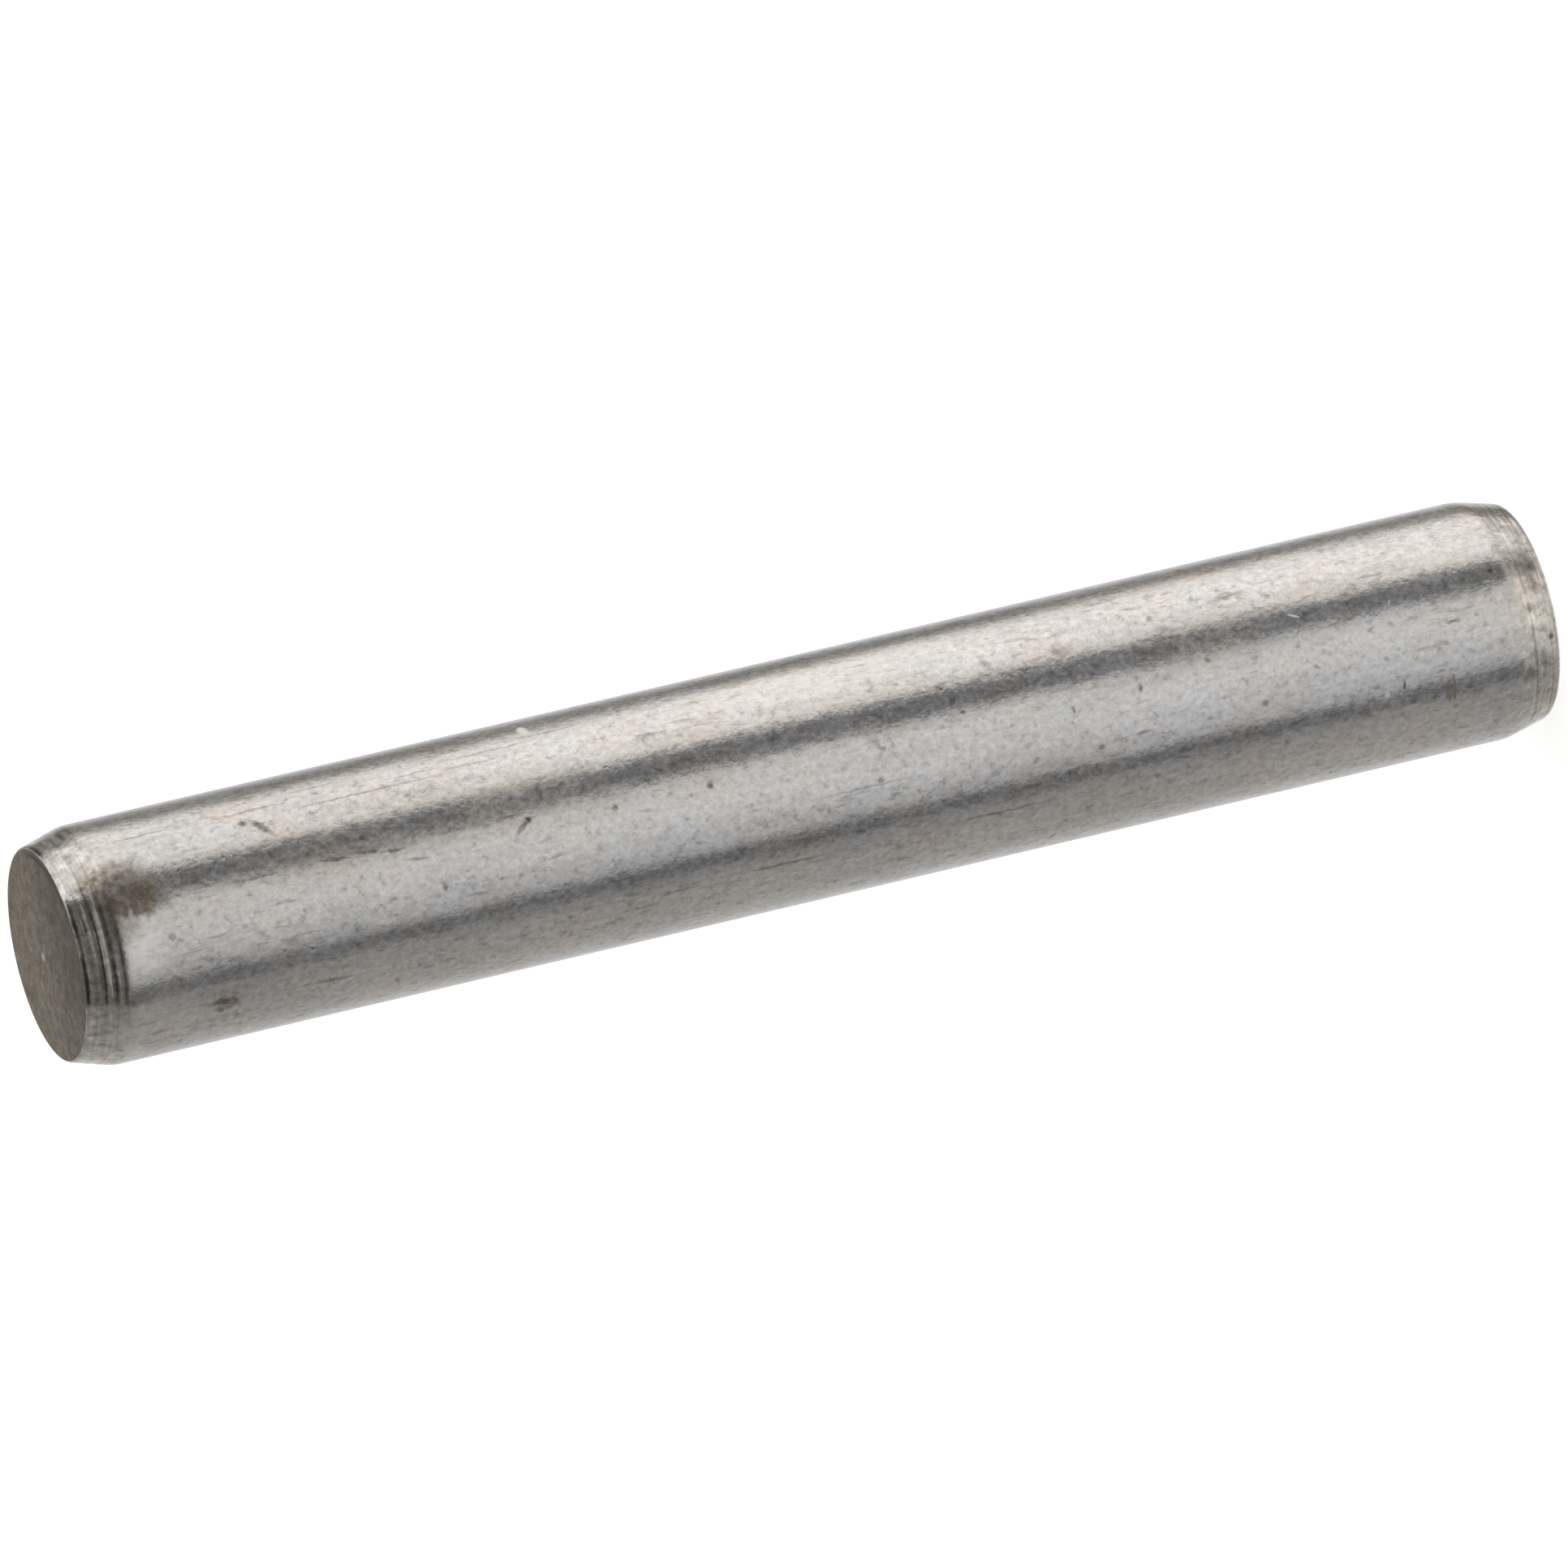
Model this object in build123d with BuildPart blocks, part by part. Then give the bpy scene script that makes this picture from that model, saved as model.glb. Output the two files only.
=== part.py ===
"""Connecting pin: a straight cylindrical steel pin with a turned lead-in chamfer at each end.

The pin is cut from drawn round bar and its two ends are turned, so it is one solid.
It is a body of revolution: one half section is revolved about Z, and then the rings that the
turning tool leaves in the two chamfers are cut into it.

Frame: +Z runs up the pin's axis, with the origin at the centre of the lower end face, the foot.
The upper end is the head. Its chamfer is cut a little coarser, and its rim is crisper.
"""

from build123d import *
import os
from math import copysign, radians, tan

# ---------------------------------------------------------------- driving dimensions, mm and degrees
pin_diameter = 4.0
pin_length = 26.0

# Each end's lead-in chamfer: its length along the axis, and its angle to the axis.
head_chamfer_length = 0.71
head_chamfer_angle = 16.4
foot_chamfer_length = 0.75
foot_chamfer_angle = 14.2

# The rim is the broken edge between an end face and its chamfer.
# The shoulder is where the chamfer blends into the shank.
head_rim_radius = 0.04
head_shoulder_radius = 0.9
foot_rim_radius = 0.12
foot_shoulder_radius = 1.6

# The tool's rounded nose leaves one ring in a chamfer for each turn of the pin.
tool_nose_radius = 0.12
tool_feed = 0.19
head_ring_depth = 0.012
foot_ring_depth = 0.006

# ---------------------------------------------------------------- derived sizes
pin_radius = pin_diameter / 2
head_face_radius = pin_radius - head_chamfer_length * tan(radians(head_chamfer_angle))
foot_face_radius = pin_radius - foot_chamfer_length * tan(radians(foot_chamfer_angle))

# Corners of the half section, as radius and height.
foot_centre = Vector(0, 0)
foot_rim = Vector(foot_face_radius, 0)
foot_shoulder = Vector(pin_radius, foot_chamfer_length)
head_shoulder = Vector(pin_radius, pin_length - head_chamfer_length)
head_rim = Vector(head_face_radius, pin_length)
head_centre = Vector(0, pin_length)


def ring_centres(rim, shoulder, angle, rim_radius, shoulder_radius, ring_depth):
    """Where the tool's nose stands for each ring of a chamfer, between its rim and its shoulder."""
    slope = shoulder - rim
    along = slope.normalized()
    outward = Vector(abs(along.Y), -copysign(along.X, along.Y))
    rim_blend = rim_radius * tan(radians(90 - angle) / 2)
    shoulder_blend = shoulder_radius * tan(radians(angle) / 2)
    ring_count = int((slope.length - rim_blend - shoulder_blend) / tool_feed)
    start = rim + outward * (tool_nose_radius - ring_depth)
    return [start + along * (rim_blend + (turn + 0.5) * tool_feed) for turn in range(ring_count)]


# ---------------------------------------------------------------- the pin
with BuildPart() as connecting_pin:
    with BuildSketch(Plane.XZ):
        with BuildLine():
            Polyline(foot_centre, foot_rim, foot_shoulder, head_shoulder, head_rim, head_centre, close=True)
        make_face()
        for corner, radius in (
            (foot_rim, foot_rim_radius),
            (foot_shoulder, foot_shoulder_radius),
            (head_shoulder, head_shoulder_radius),
            (head_rim, head_rim_radius),
        ):
            fillet(vertices().sort_by_distance(corner)[0], radius)
    revolve(axis=Axis.Z)

    with BuildSketch(Plane.XZ):
        with Locations(
            ring_centres(
                foot_rim, foot_shoulder, foot_chamfer_angle,
                foot_rim_radius, foot_shoulder_radius, foot_ring_depth,
            ),
            ring_centres(
                head_rim, head_shoulder, head_chamfer_angle,
                head_rim_radius, head_shoulder_radius, head_ring_depth,
            ),
        ):
            Circle(tool_nose_radius)
    revolve(axis=Axis.Z, mode=Mode.SUBTRACT)

connecting_pin.part.label = "connecting_pin"

os.makedirs("parts", exist_ok=True)
export_step(connecting_pin.part, "parts/connecting_pin.step")
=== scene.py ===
"""Looks of the connecting pin: a turned mesh in two steel finishes, on a pale floor in a soft studio.

Lengths are in millimetres and angles in degrees unless a name says otherwise; MM turns them into metres.
A place on the pin is a height above the foot face and a bearing about +Z. Bearing 0 is the front, towards
-Y, and bearings grow towards +X. The foot is the pin's lower end, and the head is its upper one.
"""

from math import cos, degrees, pi, radians, sin, tan

import bpy
from mathutils import Matrix, Vector, noise


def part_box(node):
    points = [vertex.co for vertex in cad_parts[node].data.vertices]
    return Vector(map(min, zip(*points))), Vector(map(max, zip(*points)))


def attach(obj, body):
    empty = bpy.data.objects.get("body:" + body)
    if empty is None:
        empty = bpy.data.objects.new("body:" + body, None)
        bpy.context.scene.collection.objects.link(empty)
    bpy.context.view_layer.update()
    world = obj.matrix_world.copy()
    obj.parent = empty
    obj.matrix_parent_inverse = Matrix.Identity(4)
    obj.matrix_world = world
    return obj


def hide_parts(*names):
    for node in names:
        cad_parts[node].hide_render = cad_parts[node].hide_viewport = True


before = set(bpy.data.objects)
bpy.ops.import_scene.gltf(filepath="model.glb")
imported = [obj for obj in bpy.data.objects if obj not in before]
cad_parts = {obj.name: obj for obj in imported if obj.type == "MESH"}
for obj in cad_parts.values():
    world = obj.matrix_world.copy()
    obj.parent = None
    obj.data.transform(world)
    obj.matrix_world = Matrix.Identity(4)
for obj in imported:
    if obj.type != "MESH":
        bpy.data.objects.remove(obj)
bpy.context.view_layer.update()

MM = 0.001
NODE = "connecting_pin"

# ------------------------------------------------------------------ sizes of the pin
cad_low, cad_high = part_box(NODE)
LENGTH = (cad_high.z - cad_low.z) / MM
RADIUS = 2.0

# ------------------------------------------------------------------ the turned ends
# Chamfers, as (length along the axis, angle to the axis, rim radius, shoulder radius).
HEAD_CHAMFER = (0.70, 16.4, 0.06, 0.8)
FOOT_CHAMFER = (0.75, 14.2, 0.12, 1.1)

# How much dirt and painted shade a groove holds, as (bearing, share): most lies on the front of the head, as
# painted shade.
RIM_DIRT_AND_SHADE = (
    (-180, 0.15),
    (-34, 0.22),
    (-30, 1.0),
    (13, 1.0),
    (18, 0.50),
    (24, 0.40),
    (27, 0.08),
    (58, 0.05),
    (64, 0.70),
    (90, 0.70),
    (110, 0.15),
    (180, 0.15),
)
HEAD_DIRT_AND_SHADE = (
    (-180, 0.15),
    (-34, 0.22),
    (-30, 1.0),
    (14, 1.0),
    (19, 0.65),
    (24, 0.6),
    (28, 0.30),
    (34, 0.14),
    (62, 0.14),
    (67, 0.55),
    (78, 0.55),
    (86, 0.15),
    (180, 0.15),
)
# Painted shade: a dark line along the edge of the head's face, mostly from bearing 16 to 88.
FACE_EDGE_PAINTED_SHADE = ((-180, 0.0), (16, 0.0), (26, 1.0), (76, 1.0), (88, 0.2), (110, 0.0), (180, 0.0))
UPPER_DIRT = ((-180, 0.0), (22, 0.0), (30, 1.0), (60, 1.0), (70, 0.2), (90, 0.0), (180, 0.0))
FOOT_DIRT = ((-180, 1.0), (180, 1.0))

# Grooves that the tool left, as (distance from the rim, half width towards the rim, half width towards the
# shoulder, depth, dirt and painted shade held, half width of that, where it lies). A row of depth 0 is a dark
# line alone, of dirt on the chamfer, and one at a negative distance lies on the face, along its edge, as
# painted shade.
HEAD_GROOVES = (
    (0.038, 0.030, 0.080, 0.0022, 1.05, 0.078, RIM_DIRT_AND_SHADE),
    (0.185, 0.030, 0.080, 0.0030, 0.42, 0.045, HEAD_DIRT_AND_SHADE),
    (0.342, 0.016, 0.115, 0.0088, 0.95, 0.050, HEAD_DIRT_AND_SHADE),
    (0.522, 0.030, 0.080, 0.0032, 0.86, 0.070, HEAD_DIRT_AND_SHADE),
    (0.675, 0.016, 0.050, 0.0020, 0.66, 0.048, HEAD_DIRT_AND_SHADE),
    (-0.075, 0.030, 0.030, 0.0, 0.85, 0.060, FACE_EDGE_PAINTED_SHADE),
    (0.105, 0.030, 0.030, 0.0, 0.17, 0.036, UPPER_DIRT),
    (0.250, 0.030, 0.030, 0.0, 0.09, 0.036, UPPER_DIRT),
    (0.514, 0.030, 0.030, 0.0, 0.27, 0.036, UPPER_DIRT),
    (0.632, 0.030, 0.030, 0.0, 0.22, 0.048, UPPER_DIRT),
)
FOOT_GROOVES = (
    (0.075, 0.025, 0.035, 0.0012, 0.10, 0.034, FOOT_DIRT),
    (0.170, 0.025, 0.045, 0.0018, 0.18, 0.034, FOOT_DIRT),
    (0.260, 0.020, 0.035, 0.0010, 0.08, 0.026, FOOT_DIRT),
    (0.370, 0.025, 0.055, 0.0018, 0.16, 0.036, FOOT_DIRT),
    (0.495, 0.025, 0.055, 0.0018, 0.11, 0.036, FOOT_DIRT),
    (0.630, 0.020, 0.045, 0.0010, 0.08, 0.028, FOOT_DIRT),
)

# How far a groove strays along the slope: in slow bends, and in small ones that follow a finer noise.
SLOW_SWAY = 0.010
QUICK_SWAY = 0.004
QUICK_FINENESS = 3
# How unevenly a groove is cut as it goes round, and the least and most of its dirt and painted shade that
# this lets it hold.
STRENGTH_SPREAD = 0.8
STRENGTH_FINENESS = 1.3
DIRT_AND_SHADE_STRENGTH = (0.88, 1.3)
# Each groove takes its bends and its strength from its own level of the noise.
SWAY_LEVEL = 5.0
STRENGTH_LEVEL_STEP = 10.0
# Travel from the rim over which the cuts come in, so that the rim and the face stay whole.
CUT_FADE = 0.03

# Where the turned finish fades into the drawn one, as travel from the rim.
HEAD_FADE = (0.66, 0.80)
FOOT_FADE = (0.50, 0.95)
# Polygons whose normals stand this upright belong to an end face.
FACED_FROM = 0.95

# ------------------------------------------------------------------ fineness of the mesh
# Rows of vertices across a face, as shares of its flat radius: closest at its edge, where a dark line of
# painted shade lies.
FACE_ROWS = (0.0, 0.04, 0.08, 0.14, 0.22, 0.32, 0.44, 0.56, 0.68, 0.8, 0.9, 0.925, 0.94, 0.955, 0.97, 0.985)
SEGMENTS = 288
SHANK_ROWS = 12
SLOPE_STEP = 0.007
SHOULDER_STEP = 0.012
RIM_ROWS = 8


# ================================================================== the mesh of the pin
def bump_noise(*place):
    """Smooth noise from -1 to 1 at a place."""
    return noise.noise(Vector(place))


def clamped(value, low, high):
    return max(low, min(high, value))


def between(stops, place):
    """The value at a place on a line through (place, value) stops."""
    for (low, low_value), (high, high_value) in zip(stops, stops[1:]):
        if place <= high:
            share = (place - low) / (high - low)
            return low_value + (high_value - low_value) * share
    return stops[-1][1]


def groove_cut(travel, bearing, grooves):
    """How deep the tool cut, and how much dirt and painted shade lies there, at a travel and a bearing in
    radians.
    """
    x = RADIUS * cos(bearing)
    y = RADIUS * sin(bearing)
    from_front = (degrees(bearing) + 180) % 360 - 180
    deepest = 0.0
    darkest = 0.0
    for index, (centre, inward, outward, depth, dirt_and_shade, dirt_and_shade_side, dirt_and_shade_share) in enumerate(grooves):
        slow = SLOW_SWAY * bump_noise(x, y, SWAY_LEVEL + index)
        quick = QUICK_SWAY * bump_noise(QUICK_FINENESS * x, QUICK_FINENESS * y, index)
        off_centre = travel - centre - (slow + quick)
        level = STRENGTH_LEVEL_STEP * index
        unevenness = bump_noise(STRENGTH_FINENESS * x, STRENGTH_FINENESS * y, level)
        strength = 1.0 + STRENGTH_SPREAD * unevenness
        side = inward if off_centre < 0 else outward
        if abs(off_centre) < side:
            deepest = max(deepest, depth * strength * (1 - (off_centre / side) ** 2))
        if abs(off_centre) < dirt_and_shade_side:
            darkening = dirt_and_shade * between(dirt_and_shade_share, from_front) * clamped(strength, *DIRT_AND_SHADE_STRENGTH)
            darkest = max(darkest, darkening * (1 - (off_centre / dirt_and_shade_side) ** 2) ** 2)
    return deepest * clamped(travel / CUT_FADE, 0.0, 1.0), darkest


def end_section(chamfer):
    """Rows of an end from its centre to its shoulder: radius, rise from the face, normal's turn, and travel.

    Turn is the normal's angle from straight out of the face towards the side. Travel is the distance along
    the slope from the sharp corner that the rim rounds off, and is negative on the face.
    """
    length, degrees_to_axis, rim_radius, shoulder_radius = chamfer
    angle = radians(degrees_to_axis)
    face_radius = RADIUS - length * tan(angle)
    rim_turn = pi / 2 - angle
    rim_tangent = rim_radius * tan(rim_turn / 2)
    shoulder_tangent = shoulder_radius * tan(angle / 2)
    slope_length = length / cos(angle)
    flat_radius = face_radius - rim_tangent
    rows = []
    for share in FACE_ROWS:
        rows.append((flat_radius * share, 0.0, 0.0, -flat_radius * (1 - share)))
    for step in range(RIM_ROWS + 1):
        share = step / RIM_ROWS
        turn = rim_turn * share
        rows.append((
            flat_radius + rim_radius * sin(turn),
            rim_radius * (1 - cos(turn)),
            turn,
            rim_tangent * (2 * share - 1),
        ))
    plain_length = slope_length - rim_tangent - shoulder_tangent
    slope_steps = int(plain_length / SLOPE_STEP)
    for step in range(1, slope_steps):
        travel = rim_tangent + plain_length * step / slope_steps
        rows.append((face_radius + travel * sin(angle), travel * cos(angle), rim_turn, travel))
    arc_start = slope_length - shoulder_tangent
    arc_rows = int(shoulder_radius * angle / SHOULDER_STEP)
    for step in range(arc_rows + 1):
        turn = angle * step / arc_rows
        rows.append((
            RADIUS - shoulder_radius * (1 - cos(angle - turn)),
            length + shoulder_tangent - shoulder_radius * sin(angle - turn),
            rim_turn + turn,
            arc_start + shoulder_radius * turn,
        ))
    return rows


def pin_rows():
    """Every row of the pin from foot to head: radius, height, normal out and up, travel, and grooves."""
    rows = []
    foot = end_section(FOOT_CHAMFER)
    head = end_section(HEAD_CHAMFER)
    for radius, rise, turn, travel in foot:
        rows.append((radius, rise, sin(turn), -cos(turn), travel, FOOT_GROOVES))
    low = foot[-1][1]
    high = LENGTH - head[-1][1]
    for step in range(1, SHANK_ROWS):
        rows.append((RADIUS, low + (high - low) * step / SHANK_ROWS, 1.0, 0.0, None, None))
    for radius, rise, turn, travel in reversed(head):
        rows.append((radius, LENGTH - rise, sin(turn), cos(turn), travel, HEAD_GROOVES))
    return rows


def build_pin():
    """The pin as one closed mesh: rings of vertices joined by quads, with a fan at each face's centre."""
    rows = pin_rows()[1:-1]
    points = []
    dirt_and_shade_values = []
    turned_values = []
    for radius, height, out, up, travel, grooves in rows:
        for segment in range(SEGMENTS):
            bearing = 2 * pi * segment / SEGMENTS
            cut = dirt_and_shade = turned = 0.0
            if travel is not None:
                cut, dirt_and_shade = groove_cut(travel, bearing, grooves)
                fade_start, fade_end = HEAD_FADE if grooves is HEAD_GROOVES else FOOT_FADE
                turned = clamped((fade_end - travel) / (fade_end - fade_start), 0.0, 1.0)
            cut_radius = radius - out * cut
            cut_height = height - up * cut
            points.append((cut_radius * sin(bearing) * MM, -cut_radius * cos(bearing) * MM, cut_height * MM))
            dirt_and_shade_values.append(dirt_and_shade)
            turned_values.append(turned)
    foot_centre = len(points)
    head_centre = foot_centre + 1
    points.extend(((0.0, 0.0, 0.0), (0.0, 0.0, LENGTH * MM)))
    dirt_and_shade_values.extend((0.0, 0.0))
    turned_values.extend((1.0, 1.0))
    faces = []
    for row in range(len(rows) - 1):
        for segment in range(SEGMENTS):
            here = row * SEGMENTS + segment
            beside = row * SEGMENTS + (segment + 1) % SEGMENTS
            faces.append((here, beside, beside + SEGMENTS, here + SEGMENTS))
    last = (len(rows) - 1) * SEGMENTS
    for segment in range(SEGMENTS):
        following = (segment + 1) % SEGMENTS
        faces.append((foot_centre, following, segment))
        faces.append((head_centre, last + segment, last + following))
    mesh = bpy.data.meshes.new("pin_steel")
    mesh.from_pydata(points, [], faces)
    mesh.update()
    mesh.shade_smooth()
    mesh.attributes.new("groove_dirt_and_shade", "FLOAT", "POINT").data.foreach_set("value", dirt_and_shade_values)
    mesh.attributes.new("turned", "FLOAT", "POINT").data.foreach_set("value", turned_values)
    pin = bpy.data.objects.new("pin_steel", mesh)
    bpy.context.scene.collection.objects.link(pin)
    return pin


# ================================================================== node helpers
FLOAT = "NodeSocketFloat"
VECTOR = "NodeSocketVector"
WHITE = (1.0, 1.0, 1.0)


class Graph:
    """Short words for making and joining the nodes of one tree. A colour is given as red, green and blue."""

    def __init__(self, tree):
        self.tree = tree

    def node(self, kind, inputs=None, **settings):
        made = self.tree.nodes.new(kind)
        for name, value in settings.items():
            setattr(made, name, value)
        for name, value in (inputs or {}).items():
            self.put(made.inputs[name], value)
        return made

    def put(self, target, value):
        if isinstance(value, bpy.types.NodeSocket):
            self.tree.links.new(value, target)
        elif target.type == "RGBA":
            target.default_value = (*value, 1.0)
        else:
            target.default_value = value

    def math(self, operation, *values, clamp=False):
        made = self.node("ShaderNodeMath", operation=operation, use_clamp=clamp)
        for index, value in enumerate(values):
            self.put(made.inputs[index], value)
        return made.outputs[0]

    def vector(self, operation, *values):
        made = self.node("ShaderNodeVectorMath", operation=operation)
        for index, value in enumerate(values):
            self.put(made.inputs[index], value)
        return made.outputs["Value" if operation == "LENGTH" else "Vector"]

    def scaled(self, value, factor):
        """A vector or a colour times a factor, which may change over the surface."""
        made = self.node("ShaderNodeVectorMath", {"Scale": factor}, operation="SCALE")
        self.put(made.inputs[0], value)
        return made.outputs["Vector"]

    def split(self, value):
        return self.node("ShaderNodeSeparateXYZ", {"Vector": value}).outputs

    def joined(self, x=0.0, y=0.0, z=0.0):
        return self.node("ShaderNodeCombineXYZ", {"X": x, "Y": y, "Z": z}).outputs[0]

    def attribute(self, name):
        return self.node("ShaderNodeAttribute", attribute_name=name).outputs["Fac"]

    def bearing(self, split):
        """The bearing of a direction in radians, from its parts along X and Y."""
        return self.math("ARCTAN2", split["X"], self.math("MULTIPLY", split["Y"], -1.0))

    def remap(self, value, low, high, to_low=0.0, to_high=1.0, smooth=False):
        made = self.node(
            "ShaderNodeMapRange",
            {"Value": value, "From Min": low, "From Max": high, "To Min": to_low, "To Max": to_high},
            interpolation_type="SMOOTHSTEP" if smooth else "LINEAR",
        )
        return made.outputs["Result"]

    def mix(self, share, first, second, blend="MIX"):
        made = self.node("ShaderNodeMix", data_type="RGBA", blend_type=blend, clamp_factor=True)
        self.put(made.inputs[0], share)
        self.put(made.inputs[6], first)
        self.put(made.inputs[7], second)
        return made.outputs[2]

    def noise(self, place, scale, detail=2.0, roughness=0.5, output="Fac"):
        made = self.node(
            "ShaderNodeTexNoise",
            {"Vector": place, "Scale": scale, "Detail": detail, "Roughness": roughness},
        )
        return made.outputs[output]

    def wobble(self, place, scale, detail=2.0, roughness=0.5):
        """A shift that changes over space, of up to a half each way."""
        return self.vector("SUBTRACT", self.noise(place, scale, detail, roughness, "Color"), (0.5, 0.5, 0.5))

    def group(self, tree, inputs):
        made = self.tree.nodes.new("ShaderNodeGroup")
        made.node_tree = tree
        for name, value in inputs.items():
            self.put(made.inputs[name], value)
        return made.outputs


def new_group(name, inputs, outputs):
    """An empty shader node group with these sockets: its tree, its graph, its inputs and its results."""
    tree = bpy.data.node_groups.new(name, "ShaderNodeTree")
    for label, kind, value in inputs:
        made = tree.interface.new_socket(label, in_out="INPUT", socket_type=kind)
        if value is not None:
            made.default_value = value
    for label, kind in outputs:
        tree.interface.new_socket(label, in_out="OUTPUT", socket_type=kind)
    graph = Graph(tree)
    given = graph.node("NodeGroupInput").outputs
    result = graph.node("NodeGroupOutput").inputs
    return tree, graph, given, result


# ================================================================== effects of the finishes
# Height from which the film that handling leaves thickens towards the head.
FILM_START = 12.0


def place_group():
    """Where a point of the pin is: in space, and unrolled as (distance round, height), in millimetres.

    Head Film is how much of the thin brownish film lies there.
    """
    outputs = [("Solid", VECTOR), ("Unrolled", VECTOR), ("Head Film", FLOAT)]
    tree, graph, _, result = new_group("pin_place", [], outputs)
    solid = graph.scaled(graph.node("ShaderNodeTexCoord").outputs["Object"], 1 / MM)
    split = graph.split(solid)
    around = graph.math("MULTIPLY", graph.bearing(split), RADIUS)
    graph.put(result["Solid"], solid)
    graph.put(result["Unrolled"], graph.joined(around, split["Z"]))
    graph.put(result["Head Film"], graph.remap(split["Z"], FILM_START, LENGTH, smooth=True))
    return tree


def mark_group():
    """A soft-edged oval patch on the unrolled surface: its strength inside, 0 outside."""
    tree, graph, given, result = new_group(
        "surface_mark",
        [
            ("Unrolled", VECTOR, None),
            ("Centre", VECTOR, None),
            ("Half Size", VECTOR, None),
            ("Lean", FLOAT, 0.0),
            ("Softness", FLOAT, 0.4),
            ("Strength", FLOAT, 1.0),
        ],
        [("Mask", FLOAT)],
    )
    offset = graph.vector("SUBTRACT", given["Unrolled"], given["Centre"])
    turned = graph.node(
        "ShaderNodeVectorRotate", {"Vector": offset, "Angle": given["Lean"]}, rotation_type="Z_AXIS"
    ).outputs[0]
    reach = graph.vector("LENGTH", graph.vector("DIVIDE", turned, given["Half Size"]))
    inner = graph.math("SUBTRACT", 1.0, given["Softness"])
    outer = graph.math("ADD", 1.0, given["Softness"])
    mask = graph.remap(reach, inner, outer, 1.0, 0.0, smooth=True)
    graph.put(result["Mask"], graph.math("MULTIPLY", mask, given["Strength"]))
    return tree


# Noises of the steel's skin, as (output, kind, shift of its place, scale, detail, roughness). A fine one is
# drawn out along the pin and its scale is in shares of Fineness, a drawn one is only drawn out, and a broad
# one is neither.
SKIN_NOISES = (
    ("Grain", "fine", (0.0, 0.0, 0.0), 2.0, 3.0, 0.6),
    ("Fleck", "fine", (31.0, 7.0, 13.0), 1.7, 3.0, 0.7),
    ("Speck", "fine", (5.0, 23.0, 1.0), 1.0, 4.0, 0.7),
    ("Tint", "drawn", (3.0, 17.0, 5.0), 1.1, 5.0, 0.7),
    ("Cloud", "broad", (11.0, 2.0, 9.0), 0.45, 3.0, 0.55),
    ("Wave", "broad", (2.0, 5.0, 19.0), 1.3, 2.0, 0.5),
    ("Patch", "broad", (17.0, 3.0, 29.0), 5.0, 3.0, 0.6),
)


def grain_group():
    """The skin of the steel: grain and waves for its relief, and the rest for its colour and gloss."""
    tree, graph, given, result = new_group(
        "steel_grain",
        [("Solid", VECTOR, None), ("Along", FLOAT, 0.5), ("Fineness", FLOAT, 6.0)],
        [(row[0], FLOAT) for row in SKIN_NOISES],
    )
    drawn = graph.vector("MULTIPLY", given["Solid"], graph.joined(1.0, 1.0, given["Along"]))
    for label, kind, shift, scale, detail, roughness in SKIN_NOISES:
        place = graph.vector("ADD", given["Solid"] if kind == "broad" else drawn, shift)
        if kind == "fine":
            scale = graph.math("MULTIPLY", given["Fineness"], scale)
        graph.put(result[label], graph.noise(place, scale, detail, roughness))
    return tree


# Rings: how far they stray up and down, and how their noise is drawn out round the pin and squeezed along it.
RING_SWAY = 0.06
RING_STRETCH = (0.35, 17.0, 1.0)


def rings_group():
    """Fine rings that the tool leaves round a turned surface, unevenly spaced and broken here and there."""
    tree, graph, given, result = new_group(
        "turned_rings", [("Solid", VECTOR, None), ("Unrolled", VECTOR, None)], [("Line", FLOAT)]
    )
    sway = graph.math("MULTIPLY", graph.noise(given["Solid"], 1.1), RING_SWAY)
    swayed = graph.vector("ADD", given["Unrolled"], graph.joined(y=sway))
    place = graph.vector("MULTIPLY", swayed, RING_STRETCH)
    graph.put(result["Line"], graph.noise(place, 1.0, 2.0, 0.6))
    return tree


# Streaks and bands: how far they bend, and how fine their noises are across the pin and along it.
STREAK_BEND = 0.12
STREAK_STRETCH = (10.0, 10.0, 1.6)
BAND_STRETCH = (3.2, 3.2, 0.28)
# Pits: the cells for them in a millimetre, how ragged they are, the reach of the widest, the share of its
# reach over which a pit is at full strength, and the least strength. A cell whose chance is below PITTED_FROM
# has none.
CELLS_PER_MM = 3.4
PIT_RAGGEDNESS = 0.14
PIT_REACH = 0.16
PIT_CORE = 0.35
FAINTEST_PIT = 0.2
PITTED_FROM = 0.30


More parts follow.
